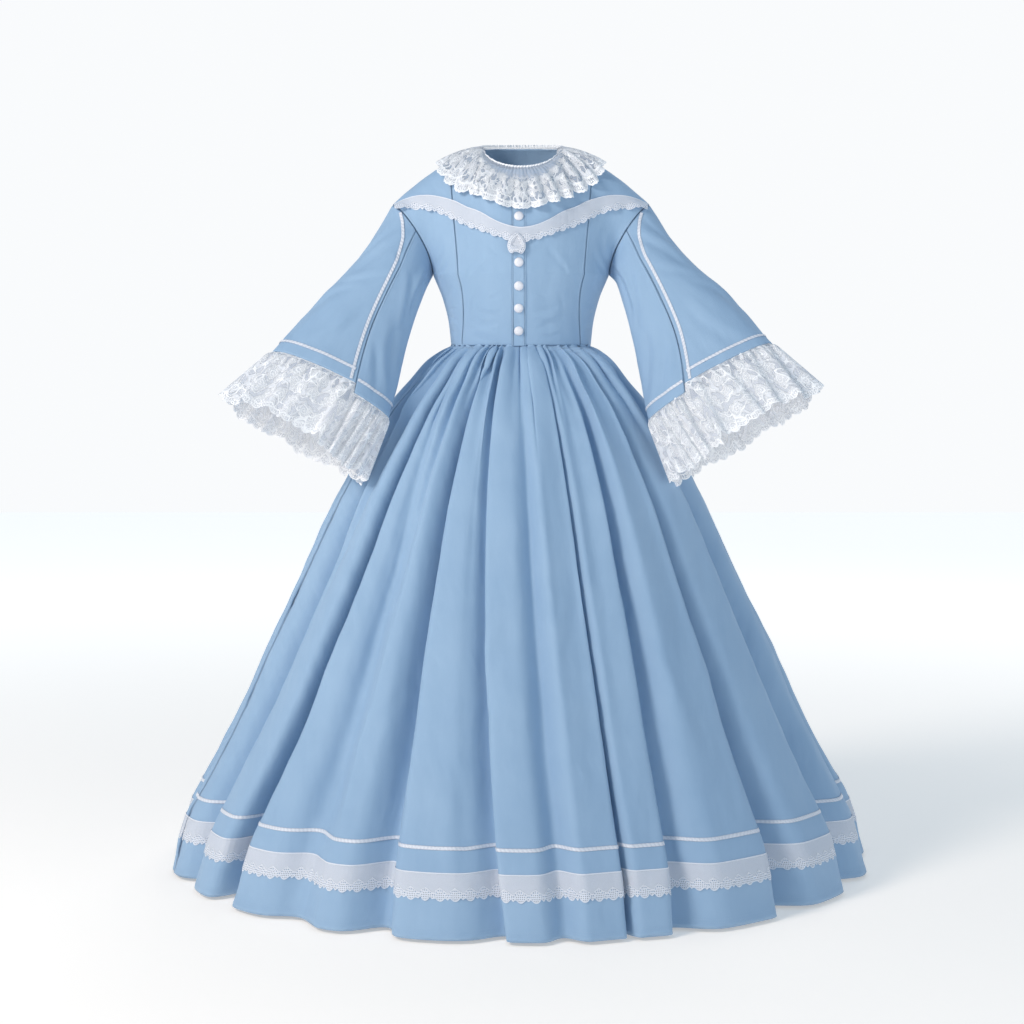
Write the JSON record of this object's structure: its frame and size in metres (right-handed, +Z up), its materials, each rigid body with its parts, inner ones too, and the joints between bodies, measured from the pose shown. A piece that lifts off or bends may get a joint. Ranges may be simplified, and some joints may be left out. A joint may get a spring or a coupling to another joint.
{
  "type": "evening gown",
  "caption": "Long-sleeved evening gown in its worn form: princess bodice, V-shaped eyelet trim, lace collar, wide lace-edged sleeves and a full gathered skirt.",
  "frame": {"origin": "middle of the neck opening, level with the side of the neck, where the wearer holds the gown up", "axes": "+Z up, the front of the gown faces -Y, +X towards the wearer's left arm"},
  "size_m": [1.3495, 1.3489, 1.3963],
  "materials": {
    "blue_cloth": "plain weave with a soft sheen",
    "white_lace": "fine net lace with flowers",
    "eyelet_trim": "white scalloped eyelet edging",
    "satin_ribbon": "narrow satin ribbon",
    "button_white": "domed white button"
  },
  "bodies": {
    "root": {"bodice_front_centre_right": "blue_cloth", "bodice_front_centre_left": "blue_cloth", "bodice_front_side_right": "blue_cloth", "bodice_front_side_left": "blue_cloth", "bodice_back": "blue_cloth", "button_stand": "blue_cloth", "skirt_front": "blue_cloth", "skirt_back": "blue_cloth", "hem_ribbon_front": "satin_ribbon", "hem_ribbon_back": "satin_ribbon", "hem_trim_front": "eyelet_trim", "hem_trim_back": "eyelet_trim", "sleeve_upper_right": "blue_cloth", "sleeve_under_right": "blue_cloth", "sleeve_ribbon_right": "satin_ribbon", "cuff_ribbon_upper_right": "satin_ribbon", "cuff_ribbon_under_right": "satin_ribbon", "cuff_lace_upper_right": "white_lace", "cuff_lace_under_right": "white_lace", "sleeve_upper_left": "blue_cloth", "sleeve_under_left": "blue_cloth", "sleeve_ribbon_left": "satin_ribbon", "cuff_ribbon_upper_left": "satin_ribbon", "cuff_ribbon_under_left": "satin_ribbon", "cuff_lace_upper_left": "white_lace", "cuff_lace_under_left": "white_lace", "collar_lace": "white_lace", "v_trim_front_right": "eyelet_trim", "v_trim_front_left": "eyelet_trim", "v_trim_back": "eyelet_trim", "v_loop": "eyelet_trim", "button_1": "button_white", "button_2": "button_white", "button_3": "button_white", "button_4": "button_white", "button_5": "button_white"}
  },
  "joints": []
}
